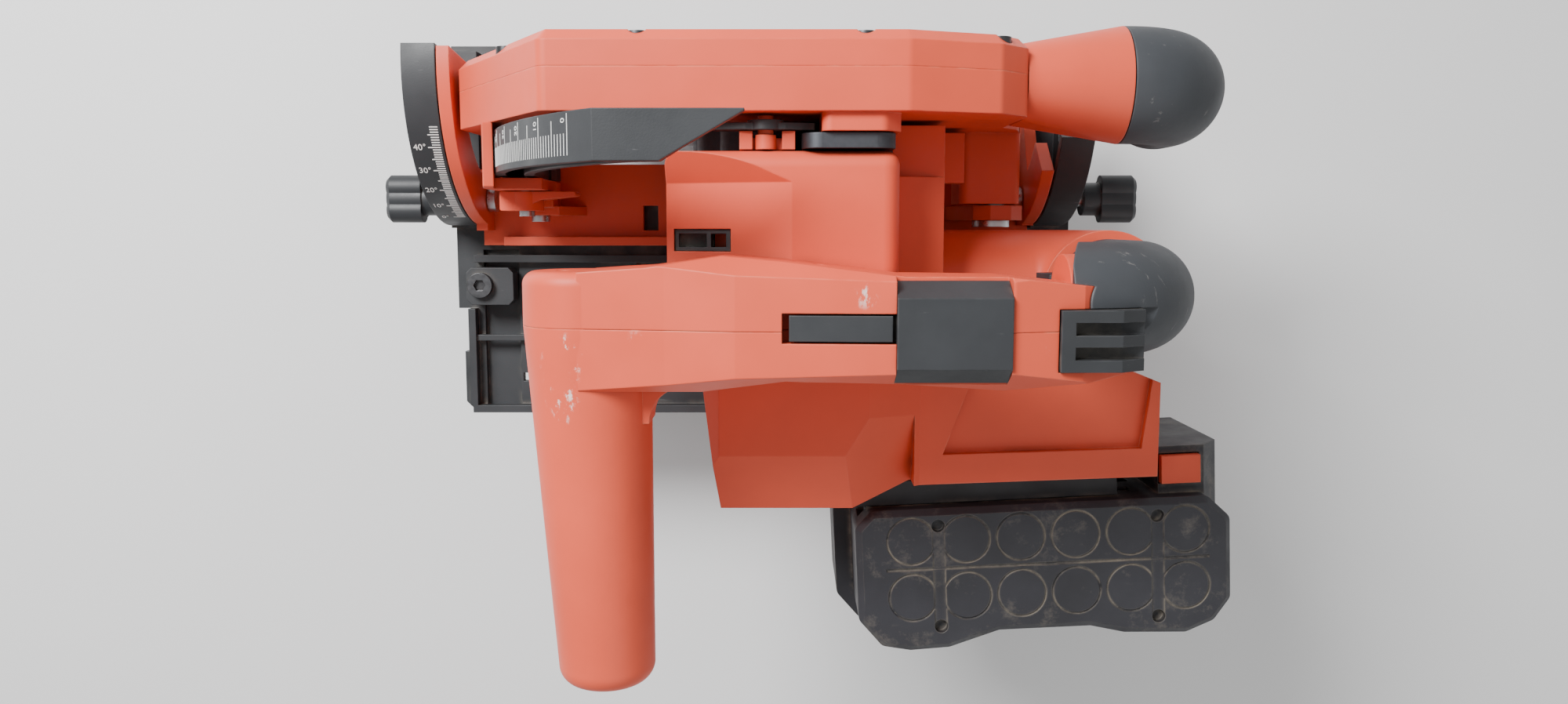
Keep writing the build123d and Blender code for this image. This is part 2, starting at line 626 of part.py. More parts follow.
# ---------------------------------------------------------------- lower guard
def lower_guard():
    """Retracting guard: rim and two cheeks round the lower half of the blade, hub on the left."""
    center = (0, ARBOR_Z)
    shell = sector(Plane.XZ.offset(-7.2), center, LOWER_R, 37, 184, 352, 15)
    shell -= rod_y(0, ARBOR_Z, LOWER_R - 2, (-6.2, 5.4))
    spokes = side_prism([(-16, ARBOR_Z - 17), (-33, ARBOR_Z - 40), (33, ARBOR_Z - 40), (16, ARBOR_Z - 17)],
                        (5.4, 7.2))
    hub = rod_y(0, ARBOR_Z, 26, (5.4, 7.2))
    return shell + ((spokes + hub) - rod_y(0, ARBOR_Z, HUB_BOSS_R + 0.08, (5, 8)))


def guard_lever():
    """Finger tab on the front end of the lower guard."""
    x, z = polar(0, ARBOR_Z, 90, 344)
    return rod_y(x, z, 4.5, (7.2, 12.2))


def guard_spring():
    coils = ring_y(0, ARBOR_Z, 23.2, 21, (7.6, 9.8))
    return coils


# ---------------------------------------------------------------- housings
def motor_housing():
    """Red block over the gear case and the motor: sloped front shoulder, lower step at the rear."""
    side = [(BLOCK_FRONT, 60), (BLOCK_FRONT, BLOCK_TOP), (BLOCK_REAR, BLOCK_TOP), (BLOCK_REAR, 106),
            (STEP_REAR, 100),
            (STEP_REAR, 66), (-33, 38), (8, 38)]
    body = side_prism(side, (CASE_LEFT + 0.2, BLOCK_LEFT))
    nose = block((BLOCK_REAR, BLOCK_FRONT), (NOSE_Y, CASE_LEFT + 1), (99, BLOCK_TOP))
    nose = fillet(nose.edges().filter_by(Axis.Z).group_by(Axis.Y)[0], 4.5)
    body += nose + block((STEP_REAR, BLOCK_REAR), (BRIDGE_Y, CASE_LEFT + 1), (56, 100))
    body += block((STEP_REAR - 11, STEP_REAR), (BRIDGE_Y, CASE_LEFT + 1), (60, 70))
    body += block((STEP_REAR - 11, STEP_REAR), (BRIDGE_Y, BRIDGE_Y + 9), (14, 70))
    body += block((STEP_REAR, BLOCK_REAR), (BRIDGE_Y, BRIDGE_Y + 9), (14, 57))
    body = fillet(body.edges().filter_by(Axis.Y).group_by(Axis.Z)[-1].sort_by(Axis.X)[0], 5)
    slope = above(SHOULDER[1], (SHOULDER[1][0], 60, BLOCK_TOP), SHOULDER[2])
    body -= slope & block((-60, 60), (SHOULDER[1][1], 100), (90, 150))
    body -= above(*SHOULDER) & block((-60, 60), (0, SHOULDER[1][1]), (90, 150))
    body -= rod_y(MOTOR_X, MOTOR_Z, 28.3, (34, BLOCK_LEFT + 1))
    body -= rod_y(MOTOR_X, MOTOR_Z, 8.1, (CASE_LEFT, 40))
    body -= rod_y(0, ARBOR_Z, 9.2, (CASE_LEFT, 40))
    body -= block((BLOCK_REAR + 4, SHOULDER[1][0] - 3), (34, BLOCK_LEFT - 3), (98, BLOCK_TOP - 4))
    body -= vent_wedge(0.1)
    return body - rod_x(60, 92, 4.1, (BLOCK_FRONT - 6, BLOCK_FRONT + 1))


def vent_wedge(gap):
    """Wedge under the sloped shoulder that holds the vent grille."""
    side = [(3 - gap, 112 - gap), (21 + gap, 107 - gap)]
    side += [(21 + gap, 113.4 + 15 * gap), (3 - gap, 120.2 + 15 * gap)]
    return side_prism(side, (45 - gap, 51.8 + gap))


def vent_grille():
    """Dark tray behind the slanted opening, with one cross rib."""
    tray = block((4.4, 9.2), (46.4, 50.6), (110.5, BLOCK_TOP))
    tray += block((10.6, 19.6), (46.4, 50.6), (110.5, BLOCK_TOP))
    return vent_wedge(0) - tray


def work_lamp():
    return rod_x(60, 92, 4, (BLOCK_FRONT - 5.8, BLOCK_FRONT + 0.6))


def end_housing():
    """Outer left housing: end of the motor, rear body over the electronics, seat of the dock."""
    side = [(BLOCK_FRONT - 9, 56), (BLOCK_FRONT - 9, 98), (8, HOUSING_TOP), (-42, HOUSING_TOP), (-60, 92),
            (HOUSING_REAR, 85), (HOUSING_REAR, 48), (-116, 26), (-96, 17), (-60, 17), (-30, 30), (4, 42)]
    body = side_prism(side, (BLOCK_LEFT + 0.1, HOUSING_LEFT))
    plan = [(14.5, 91), (8, HOUSING_LEFT), (-37, HOUSING_LEFT), (-57, 132.5), (HOUSING_REAR, 131),
            (HOUSING_REAR, 98), (-126, 91)]
    body &= plan_prism(plan, (0, 120))
    body -= above((0, 120, HOUSING_TOP), (-40, 120, HOUSING_TOP), (0, HOUSING_LEFT, 94))
    corner = above((-34, 120, HOUSING_TOP), (-60, 108, 92), (-40, HOUSING_LEFT, 92))
    body -= corner & block((-58, 20), (92, 150), (60, 120))
    body -= rod_y(MOTOR_X, MOTOR_Z, 28.3, (BLOCK_LEFT - 1, 104))
    body -= rod_y(MOTOR_X, MOTOR_Z, 8.1, (100, 113.1))
    body -= rod_y(MOTOR_X, MOTOR_Z, 6, (112, 118))
    body -= block((-134, -64), (BLOCK_LEFT + 4, 126), (36, 74))
    body -= block((-96, -64), (BLOCK_LEFT + 4, 126), (24, 40))
    recess = plan_prism([(-80, 90), (-68, 122), (-138, 121), (-142, 90)], (60, 120))
    floor = side_prism([(-58, 89.5), (-146, 81.8), (-146, 120), (-58, 120)], (90, 126))
    body -= recess & floor
    return body - dock_body(0.05)


def on_battery_axis(shape):
    """Turn a shape built square to the frame onto the slide axis of the battery."""
    return Pos(BATT_X, BATT_Y, 0) * Rot(0, 0, BATT_TURN) * Pos(-BATT_X, -BATT_Y, 0) * shape


def rails(grow, start, stop):
    """Two T-shaped rails that the battery slides on."""
    shape = None
    for z in (26, 66):
        neck = block((start, stop), (BATT_IN - 5, BATT_IN + 4 + grow), (z - 2 - grow, z + 2 + grow))
        head = block((start, stop), (BATT_IN + 1.5 - grow, BATT_IN + 4 + grow), (z - 5 - grow, z + 5 + grow))
        shape = neck + head if shape is None else shape + neck + head
    return shape


def dock_body(grow):
    plate = block((-134 - grow, -38 + grow), (BATT_IN - 9 - grow, BATT_IN - 0.4), (16 - grow, 76 + grow))
    return on_battery_axis(plate)


def battery_dock():
    """Black foot with the rails for the battery."""
    return dock_body(0) + on_battery_axis(rails(0, -130, -44) - block((-200, 0), (0, BATT_IN - 3), (0, 100)))


def terminal_block():
    body = block((-70, -50), (BATT_IN - 0.3, BATT_IN + 3), (37, 55))
    for z in (40, 46, 52):
        body += block((-92, -70), (BATT_IN + 0.6, BATT_IN + 2), (z - 3, z + 3))
    return on_battery_axis(body)


def control_board():
    board = block((-130, -68), (100, 101.6), (40, 72))
    for x in (-120, -104, -88):
        board += block((x, x + 10), (101.6, 108), (46, 62))
    return board


# ---------------------------------------------------------------- handle
HANDLE_SIDE = [(AUX_X, 118), (AUX_X, 154.6), (20, 158.5), (0, 163), (-45, 166), (-77, 166),
               (-97, 161), (-112, 151), (-112, 134), (-67, 133), (-52, BLOCK_TOP), (BLOCK_FRONT, BLOCK_TOP),
               (36, 120)]
HANDLE_PLAN = [(AUX_X, AUX_START), (25, 55.5), (4, 52.4), (-14, 54), (-48, 58), (-76, 58), (-113, 62),
               (-113, 86), (-76, 90.5), (-46, 88), (-14, 87), (10, 91), (AUX_X, 91)]


HANDLE_SCREWS = [(52, 138), (-24, 141), (-88, 142)]


def handle_blank():
    """Whole handle bar before it is split into two shells, with the root of the front handle."""
    bar = side_prism(HANDLE_SIDE, (HANDLE_RIGHT, HANDLE_LEFT))
    top = [(50, 117), (50, 148), (59.5, 167), (84, 167), (93, 150), (93, 117)]
    bar &= end_prism(top, (-113, 63))
    bar &= plan_prism(HANDLE_PLAN, (117, 170))
    root = rod_y(AUX_X, AUX_Z, AUX_R, (AUX_START, HANDLE_PART))
    return bar + fillet(root.faces().sort_by(Axis.Y)[0].edges(), 4)


def grip_tube(r):
    """Round tube of the rear grip, from the bar down to the lower link."""
    down = rod_z(-GRIP_BACK, GRIP_Y, r, (84, GRIP_TOP - GRIP_BEND))
    ring = Plane.XY.offset(GRIP_TOP - GRIP_BEND) * Pos(-GRIP_BACK, GRIP_Y) * Circle(r)
    bend = revolve(ring, Axis((-GRIP_BACK + GRIP_BEND, GRIP_Y, GRIP_TOP - GRIP_BEND), (0, 1, 0)), 90)
    return down + bend


def lower_link():
    """Thick lower bow of the D-handle, from the grip to the housing."""
    y, r = GRIP_Y + 2, LINK_R
    ring = Plane.XY.offset(84) * Pos(-GRIP_BACK, y) * Circle(r)
    bend = revolve(ring, Axis((-GRIP_BACK + LINK_BEND, y, 84), (0, 1, 0)), -90)
    foot = rod_x(y, 84 - LINK_BEND, r, (-GRIP_BACK + LINK_BEND, -54))
    return bend + foot


def handle_body():
    """Everything red of the handle, with the pockets for levers, key and trigger."""
    body = handle_blank() + grip_tube(GRIP_R - 3.5) + lower_link()
    body -= soft_sleeve(0.03) - grip_tube(GRIP_R - 3.5)
    body -= side_prism([(-76.2, 159), (-44.4, 159), (-44.4, 170), (-76.2, 170)], (40, 100))
    body -= block((-44.5, -13), (67.8, 76.2), (156, 170))
    body -= key_pocket()
    body -= rod_x(75.5, KEY_Z, 2.6, (-95, -48))
    for x, z in HANDLE_SCREWS:
        body -= rod_y(x, z, 2.03, (50, 70.2))
    body -= trigger_pocket()
    body -= block((-131, -116.9), (60.5, 73.5), (88, 116))
    body -= xz_extrude(outline([(24, 130), (24, 148), (2, 150), (-10, 150), (-10, 133)]), (58, 84))
    body -= xz_extrude(outline([(-50, 137), (-50, 150), (-84, 149), (-84, 139)]), (62, 86))
    return body - housing_zone()


def housing_zone():
    """Space of the housings next to the handle."""
    upper = block((BLOCK_REAR - 0.1, BLOCK_FRONT + 0.1), (CASE_LEFT, BLOCK_LEFT + 0.2), (38, BLOCK_TOP))
    step = block((STEP_REAR - 0.1, BLOCK_REAR), (CASE_LEFT, BLOCK_LEFT + 0.2), (38, 106))
    return upper + step + block((-160, 20), (BLOCK_LEFT, HOUSING_LEFT), (0, 110))


def key_pocket():
    return block((-160, -89.6), (66.8, 84.4), (KEY_Z - 3.2, 175))


def trigger_pocket():
    return block((-117, -96), (59, 72.5), (90, 116))


def aux_handle():
    """Front handle: straight at the back, tapering at the front, with a rounded end."""
    ends = [(HANDLE_PART, AUX_R, AUX_X), (AUX_END, AUX_R - AUX_TAPER, AUX_X - AUX_TAPER)]
    body = loft([Plane.XZ.offset(-y) * Pos(x, AUX_Z) * Circle(r) for y, r, x in ends])
    return fillet(body.faces().sort_by(Axis.Y)[-1].edges(), 6)


def handle_right_shell():
    return handle_body() & block((-200, 100), (0, HANDLE_PART - 0.05), (0, 200))


def handle_left_shell():
    left = handle_body() & block((-200, 100), (HANDLE_PART + 0.05, 300), (0, 200))
    return left + aux_handle() + handle_fillet()


def handle_fillet():
    """Concave corner between the bar and the front handle."""
    edge = AUX_X - AUX_R
    corner = block((edge - FILLET_R, edge + 8), (89, 91 + FILLET_R), FILLET_Z)
    return corner - rod_z(edge - FILLET_R, 91 + FILLET_R, FILLET_R, FILLET_Z)


def soft_sleeve(grow):
    """Sleeve over the grip, behind a slanted face where the bar begins."""
    front = side_prism([(-86, 180), (-104, 130), (-104, 120), (0, 120), (0, 180)], (0, 120))
    return grip_tube(GRIP_R + grow) - front


def soft_grip():
    """Rubber sleeve over the rear grip, open at the front for the trigger and on top for the key."""
    sleeve = soft_sleeve(0) - grip_tube(GRIP_R - 3.45)
    sleeve -= key_pocket()
    sleeve -= handle_blank()
    return sleeve - trigger_pocket()


def saddle_pad():
    """Black cover over the top of the bar, with a pocket for the pivot of the lock-off lever."""
    top = [(59, 159.1), (59, 160.2), (63.5, 167.4), (83, 167.4), (87.5, 160.5), (87.5, 159.1)]
    pad = end_prism(top, (-76.1, -44.5))
    return pad - block((-60, -44), (67.8, 76.2), (159, 163.8))


def lock_off_lever():
    side = [(-15, 161.2), (-15, 163.6), (-43.4, 165.4), (-44.2, 162.6), (-55, 162.6), (-55, 160.6),
            (-46, 159.8)]
    return side_prism(side, (68.4, 75.6)) + rod_y(*LOCK_OFF_PIVOT, 1.7, (68.4, 75.6))


def trigger():
    side = [(-98, 94), (-100.5, 104), (-98, 113), (-104, 115), (-110, 115), (-110, 91), (-104, 91)]
    return side_prism(side, (59.5, 72))


def trigger_switch():
    return block((-130.6, -117.2), (60.9, 73), (90, 114))


def hex_key():
    """Steel key stored lengthways in the handle."""
    return rod_x(75.5, KEY_Z, 2.5, (-106, -50)) + rod_y(-104, KEY_Z, 2.5, (69, 82))


def hex_key_grip():
    """Ribbed plastic grip moulded round the bend of the key: a spine and three ribs."""
    low = KEY_Z - 2.9
    body = side_prism([(-90, low), (-90, 164), (-107, 164), (-114.5, 159), (-114.5, low)], (67, 84.2))
    for y in (70.4, 77.2):
        body -= block((-120, -94), (y, y + 3.6), (KEY_Z + 3, 170))
    return body - hex_key()


def handle_screws():
    return [rod_y(x, z, 2, (60.2, 70)).solid() for x, z in HANDLE_SCREWS]


# ---------------------------------------------------------------- controls
def depth_pointer():
    """Red bracket on the guard that reads the arc and takes the clamp."""
    center = (PIVOT_X, PIVOT_Z)
    strip = sector(Plane.XZ.offset(-31.0), center, ARC_R + 4.2, ARC_R + 0.8, 4, 17, 31 - GUARD_LEFT - 0.05)
    flange = sector(Plane.XZ.offset(-31.0), center, ARC_R + 4.2, CLAMP_R - 9, -3, 9, 31 - ARC_Y1 - 0.6)
    bracket = strip + flange
    x, z = polar(PIVOT_X, PIVOT_Z, CLAMP_R, CLAMP_ANGLE)
    return bracket - rod_y(x, z, 3, (20, 40))


def depth_clamp_bolt():
    x, z = polar(PIVOT_X, PIVOT_Z, CLAMP_R, CLAMP_ANGLE)
    return rod_y(x, z, 2.95, (9.2, 40.5))


def depth_clamp_lever():
    """Red three-cornered clamp lever on the bolt."""
    x, z = polar(PIVOT_X, PIVOT_Z, CLAMP_R, CLAMP_ANGLE)
    plan = [(x + 9, 31.3), (x - 20, 31.3), (x - 19, 33), (x - 6, 34.5), (x + 2, 38.5), (x + 9, 38.5)]
    arm = plan_prism(plan, (z - 5.5, z + 5.5), 0.8)
    return arm + rod_y(x, z, 6.4, (31.3, 38.5)) - rod_y(x, z, 3.0, (30, 42))


def spindle_lock():
    """Black lever on its pin that blocks the spindle for a blade change."""
    x, z = LOCK_PIN
    side = [(x - 15, z - 4), (x - 15, z + 1), (x - 6, z + 4), (x + 6, z + 4), (x + 26, z), (x + 26, z - 5)]
    lever = side_prism(side, (12.8, 14.9))
    lever += rod_y(x, z, 5.6, (12.0, 15.0)) + block((x - 15, x - 10), (12.8, 14.9), (z - 6, z + 1))
    return lever - rod_y(x, z, 2.45, (10, 20))


def lock_bracket():
    """Bridge on the gear case that carries the pin of the spindle lock."""
    x, z = LOCK_PIN
    body = block((x - 9, x + 8), (17.2, 20.8), (84, z - 1)) + rod_y(x, z, 3.2, (16.4, 20.8))
    for x0 in (x - 9, x + 4):
        body += block((x0, x0 + 4), (15.2, 20.8), (z - 12, z + 2))
    body -= xz_extrude(case_profile(0.02), (10, 30))
    return body + rod_y(x, z, 2.4, (10.6, 20.8))


# ---------------------------------------------------------------- battery
def battery_blank(front, z):
    """Plan outline of the battery, with two feet on the outer side."""
    f, r, o, i = front, BATT_REAR, BATT_OUT, BATT_IN
    plan = [(f, i + 6), (f, o - 12), (f - 8, o - 2), (f - 18, o), (f - 32, o - 0.5), (f - 50, o - 6),
            (r + 50, o - 6), (r + 38, o - 3), (r + 16, o - 2), (r + 6, o - 6), (r, o - 14), (r, i + 8),
            (r + 8, i),
            (f - 6, i)]
    blank = plan_prism(plan, z, 3.5)
    end = -1 if z[1] > BATT_SPLIT else 0
    return chamfer(blank.faces().filter_by(Axis.Z).sort_by(Axis.Z)[end].edges(), 2.2)


def battery_shape(lower):
    """Outer shape of one half, with the hump behind the dock."""
    if lower:
        body = battery_blank(BATT_FRONT + 5, (BATT_BOTTOM, BATT_SPLIT - 0.05))
    else:
        body = battery_blank(BATT_FRONT - 1.5, (BATT_SPLIT + 0.05, BATT_TOP))
    side = [(BATT_REAR, 20), (BATT_REAR, 68), (-165, 76), (-148.6, 76), (-148.6, 20)]
    half = (0, BATT_SPLIT - 0.05) if lower else (BATT_SPLIT + 0.05, 100)
    return body + (side_prism(side, (BATT_IN - 17, 150)) & block((-200, 0), (0, 300), half))


def cell_places(inset, pitch):
    """Twelve places in two rows, the outer row at a distance from the outer side."""
    for row in (0, 1):
        for col in range(6):
            yield (BATT_FRONT - 21 - CELL_PITCH * col, BATT_OUT - inset - pitch * row)


def battery_hollow():
    room = None
    for x, y in cell_places(*CELL_ROWS):
        well = rod_z(x, y, CELL_R + 0.15, (BATT_BOTTOM + 3, BATT_TOP - 3))
        room = well if room is None else room + well
    return room


def battery_half(lower):
    shape = battery_shape(lower) - battery_hollow() - rails(0.4, -141, -20) - terminal_room()
    face = BATT_BOTTOM if lower else BATT_TOP - 0.5
    for x, y in cell_places(*RING_ROWS):
        shape -= rod_z(x, y, CELL_R - 0.2, (face, face + 0.5)) - rod_z(x, y, CELL_R - 0.9, (face, face + 0.5))
    return shape


def terminal_room():
    return block((-144, BATT_FRONT + 8), (BATT_IN - 1, BATT_IN + 4.4), (36, 56))


def battery_lower_case():
    return on_battery_axis(battery_half(True))


def battery_upper_case():
    """Upper half with the middle groove, two cross grooves, four screw pits and the bed of the latch."""
    shape = battery_half(False)
    mid_y = BATT_OUT - RING_ROWS[0] - RING_ROWS[1] / 2
    shape -= block((BATT_REAR + 8, BATT_FRONT - 12), (mid_y - 0.5, mid_y + 0.5), (BATT_TOP - 0.6, BATT_TOP))
    for col in (0.5, 4.5):
        x = BATT_FRONT - 21 - CELL_PITCH * col
        shape -= block((x - 2.2, x + 2.2), (BATT_IN + 5, BATT_OUT - 9), (BATT_TOP - 0.5, BATT_TOP))
        for y in (BATT_IN + 6, BATT_OUT - 9):
            shape -= rod_z(x, y, 2.3, (BATT_TOP - 3, BATT_TOP))
    shape -= block((-163.5, -148.7), (127, 138), (72.5, 80))
    return on_battery_axis(shape)


def battery_cells():
    z = (BATT_BOTTOM + 3.2, BATT_TOP - 3.2)
    return [on_battery_axis(rod_z(x, y, CELL_R, z)).solid() for x, y in cell_places(*CELL_ROWS)]


def battery_latch():
    return on_battery_axis(block((-163, -149.2), (127.5, 137.5), (75, 78.6)))


# ---------------------------------------------------------------- write the nodes
PARTS = [
    base_plate, guide_clamp_block, guide_clamp_screw, front_bevel_quadrant, rear_bevel_quadrant,
    quadrant_screws, bevel_pivot_pins, tilt_frame, bevel_bolts, front_bevel_knob, rear_bevel_knob,
    depth_arc, depth_pivot_pin, arc_screw, guard_outer, guard_inner, guard_screws, chip_chute, dust_port,
    gear_case, shaft_bearings, arbor, spindle_gear, intermediate_gear, motor_rotor, cooling_fan,
    motor_stator, inner_flange, outer_flange, blade_bolt, saw_blade, lower_guard, guard_lever,
    guard_spring, motor_housing, vent_grille, work_lamp, end_housing, battery_dock, terminal_block,
    control_board, handle_right_shell, handle_left_shell, soft_grip, saddle_pad, lock_off_lever, trigger,
    trigger_switch, hex_key, hex_key_grip, handle_screws, depth_pointer, depth_clamp_bolt,
    depth_clamp_lever, spindle_lock, lock_bracket, battery_lower_case, battery_upper_case,
    battery_cells, battery_latch,
]

for make in PARTS:
    export(make.__name__, make())
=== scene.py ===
import json
from math import asin, cos, degrees, radians, sin
import bpy
from mathutils import Matrix, Vector


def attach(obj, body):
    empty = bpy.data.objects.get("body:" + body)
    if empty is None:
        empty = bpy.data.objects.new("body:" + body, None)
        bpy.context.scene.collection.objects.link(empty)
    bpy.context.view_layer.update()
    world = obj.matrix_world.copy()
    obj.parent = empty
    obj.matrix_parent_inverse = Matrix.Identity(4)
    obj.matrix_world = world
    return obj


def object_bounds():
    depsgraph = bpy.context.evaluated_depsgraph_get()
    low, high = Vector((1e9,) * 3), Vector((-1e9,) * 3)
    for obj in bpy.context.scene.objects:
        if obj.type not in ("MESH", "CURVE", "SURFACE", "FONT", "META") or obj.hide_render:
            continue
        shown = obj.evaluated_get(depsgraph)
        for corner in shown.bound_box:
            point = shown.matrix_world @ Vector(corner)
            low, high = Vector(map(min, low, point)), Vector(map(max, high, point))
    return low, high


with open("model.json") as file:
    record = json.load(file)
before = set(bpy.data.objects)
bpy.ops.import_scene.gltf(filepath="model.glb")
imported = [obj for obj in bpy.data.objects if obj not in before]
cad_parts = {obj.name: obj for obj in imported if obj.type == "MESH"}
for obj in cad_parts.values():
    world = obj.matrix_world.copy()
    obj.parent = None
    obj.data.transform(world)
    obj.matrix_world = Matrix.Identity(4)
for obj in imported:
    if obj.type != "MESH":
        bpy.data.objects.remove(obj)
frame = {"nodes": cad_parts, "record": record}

NODES = frame["nodes"]
cad_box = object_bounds()
MM = 0.001


# ---------------------------------------------------------------- material kit
class Material:
    """A Principled material with short calls for the nodes it uses."""

    def __init__(self, name, roughness=0.5, metallic=0.0, specular=0.5):
        self.mat = bpy.data.materials.new(name)
        self.mat.use_nodes = True
        self.tree = self.mat.node_tree
        self.shader = self.tree.nodes["Principled BSDF"]
        self.shader.inputs["Roughness"].default_value = roughness
        self.shader.inputs["Metallic"].default_value = metallic
        self.shader.inputs["Specular IOR Level"].default_value = specular
        self.place = self.tree.nodes.new("ShaderNodeTexCoord").outputs["Object"]

    def node(self, kind, **inputs):
        made = self.tree.nodes.new(kind)
        for key, value in inputs.items():
            self.feed(made.inputs[key.replace("_", " ")], value)
        return made

    def feed(self, socket, value):
        if isinstance(value, bpy.types.NodeSocket):
            self.tree.links.new(value, socket)
        else:
            socket.default_value = value

    def noise(self, scale, detail=3.0, rough=0.55, stretch=None):
        place = self.place
        if stretch:
            mapping = self.node("ShaderNodeMapping", Vector=place)
            mapping.inputs["Scale"].default_value = stretch
            place = mapping.outputs[0]
        made = self.node("ShaderNodeTexNoise", Vector=place, Scale=scale, Detail=detail, Roughness=rough)
        return made.outputs["Fac"]

    def math(self, operation, a, b=0.0):
        made = self.tree.nodes.new("ShaderNodeMath")
        made.operation = operation
        made.use_clamp = True
        self.feed(made.inputs[0], a)
        self.feed(made.inputs[1], b)
        return made.outputs[0]

    def span(self, value, low, high, to_low=0.0, to_high=1.0):
        made = self.tree.nodes.new("ShaderNodeMapRange")
        for i, item in enumerate((value, low, high, to_low, to_high)):
            self.feed(made.inputs[i], item)
        return made.outputs[0]

    def mix(self, factor, a, b):
        made = self.tree.nodes.new("ShaderNodeMix")
        made.data_type = "RGBA"
        self.feed(made.inputs["Factor"], factor)
        self.feed(made.inputs[6], a)
        self.feed(made.inputs[7], b)
        return made.outputs[2]

    def rounded(self, radius):
        """Normal with its edges rounded in shading."""
        made = self.tree.nodes.new("ShaderNodeBevel")
        made.samples = 6
        made.inputs["Radius"].default_value = radius
        return made.outputs[0]

    def edges(self, radius):
        """1 along sharp edges, 0 on faces."""
        plain = self.tree.nodes.new("ShaderNodeNewGeometry").outputs["Normal"]
        dot = self.tree.nodes.new("ShaderNodeVectorMath")
        dot.operation = "DOT_PRODUCT"
        self.feed(dot.inputs[0], plain)
        self.feed(dot.inputs[1], self.rounded(radius))
        return self.span(self.math("SUBTRACT", 1.0, dot.outputs["Value"]), 0.02, 0.25)

    def crevices(self, distance, low=0.35, high=0.8):
        """1 in corners and grooves, 0 on open faces."""
        made = self.tree.nodes.new("ShaderNodeAmbientOcclusion")
        made.samples = 6
        made.inputs["Distance"].default_value = distance
        return self.span(made.outputs["AO"], low, high, 1.0, 0.0)

    def spots(self, places):
        """Soft balls about the places: (x, y, z, radius) in millimetres."""
        total = None
        for x, y, z, radius in places:
            made = self.tree.nodes.new("ShaderNodeVectorMath")
            made.operation = "DISTANCE"
            self.feed(made.inputs[0], self.place)
            made.inputs[1].default_value = (x * MM, y * MM, z * MM)
            ball = self.span(made.outputs["Value"], 0.3 * radius * MM, radius * MM, 1.0, 0.0)
            total = ball if total is None else self.math("MAXIMUM", total, ball)
        return total

    def bump(self, height, strength, distance, normal=None):
        made = self.tree.nodes.new("ShaderNodeBump")
        made.inputs["Strength"].default_value = strength
        made.inputs["Distance"].default_value = distance
        self.feed(made.inputs["Height"], height)
        if normal is not None:
            self.feed(made.inputs["Normal"], normal)
        return made.outputs[0]

    def finish(self, color, normal=None, roughness=None):
        self.feed(self.shader.inputs["Base Color"], color)
        if normal is not None:
            self.feed(self.shader.inputs["Normal"], normal)
        if roughness is not None:
            self.feed(self.shader.inputs["Roughness"], roughness)
        return self.mat


def tone(color, k):
    return tuple(min(1.0, c * k) for c in color[:3]) + (1.0,)


RED = (0.74, 0.096, 0.046)
CHARCOAL = (0.023, 0.025, 0.028)
GREY_RUBBER = (0.040, 0.044, 0.050)
BATTERY_BLACK = (0.020, 0.020, 0.025)
DUST = (0.36, 0.31, 0.24, 1.0)
SCUFF = (0.86, 0.80, 0.74, 1.0)


def red_plastic(name="red_plastic", scuffs=()):
    """Orange-red glass-filled nylon: faint mottling, fine grain, pale rubbed edges, painted shade in
    corners.
    """
    m = Material(name, 0.5, specular=0.32)
    cloudy = m.noise(22, 5)
    color = m.mix(m.span(cloudy, 0.35, 0.7), tone(RED, 0.93), tone(RED, 1.05))
    rubbed = m.math("MULTIPLY", m.edges(0.0007), m.span(m.noise(120, 4), 0.42, 0.62))
    color = m.mix(m.math("MULTIPLY", rubbed, 0.55), color, (0.95, 0.33, 0.2, 1))
    # painted shade: the red darkens in corners and grooves, following an occlusion mask broken up by noise
    painted_corner_shade = m.math("MULTIPLY", m.crevices(0.004), m.span(m.noise(70, 4), 0.35, 0.7))
    color = m.mix(m.math("MULTIPLY", painted_corner_shade, 0.55), color, (0.16, 0.03, 0.015, 1))
    marks = m.span(m.noise(60, 6, 0.7, (1.0, 7.0, 1.0)), 0.72, 0.76)
    color = m.mix(m.math("MULTIPLY", marks, 0.35), color, (0.25, 0.06, 0.03, 1))
    if scuffs:
        flecks = m.span(m.noise(240, 8, 0.75, (1.0, 0.55, 1.0)), 0.56, 0.62)
        color = m.mix(m.math("MULTIPLY", flecks, m.spots(scuffs)), color, SCUFF)
    grain = m.noise(2300, 2)
    normal = m.bump(grain, 0.16, 0.00008, m.rounded(0.0006))
    roughness = m.span(m.noise(45, 5), 0.3, 0.7, 0.40, 0.56)
    return m.finish(color, normal, roughness)


def black_plastic():
    """Charcoal moulded plastic: grain, grey rubbed edges, a little sawdust in the corners."""
    m = Material("black_plastic")
    color = m.mix(m.span(m.noise(35, 5), 0.3, 0.7), tone(CHARCOAL, 0.85), tone(CHARCOAL, 1.25))
    rubbed = m.math("MULTIPLY", m.edges(0.0006), m.span(m.noise(140, 4), 0.38, 0.6))
    color = m.mix(m.math("MULTIPLY", rubbed, 0.5), color, (0.13, 0.13, 0.135, 1))
    dirt = m.math("MULTIPLY", m.crevices(0.004), m.span(m.noise(95, 6), 0.42, 0.62))
    color = m.mix(m.math("MULTIPLY", dirt, 0.35), color, DUST)
    scratch = m.span(m.noise(90, 5, 0.6, (1.0, 9.0, 2.0)), 0.68, 0.72)
    color = m.mix(m.math("MULTIPLY", scratch, 0.3), color, (0.16, 0.16, 0.16, 1))
    normal = m.bump(m.noise(1900, 2), 0.22, 0.0001, m.rounded(0.0005))
    roughness = m.span(m.noise(55, 5), 0.3, 0.7, 0.42, 0.62)
    return m.finish(color, normal, roughness)


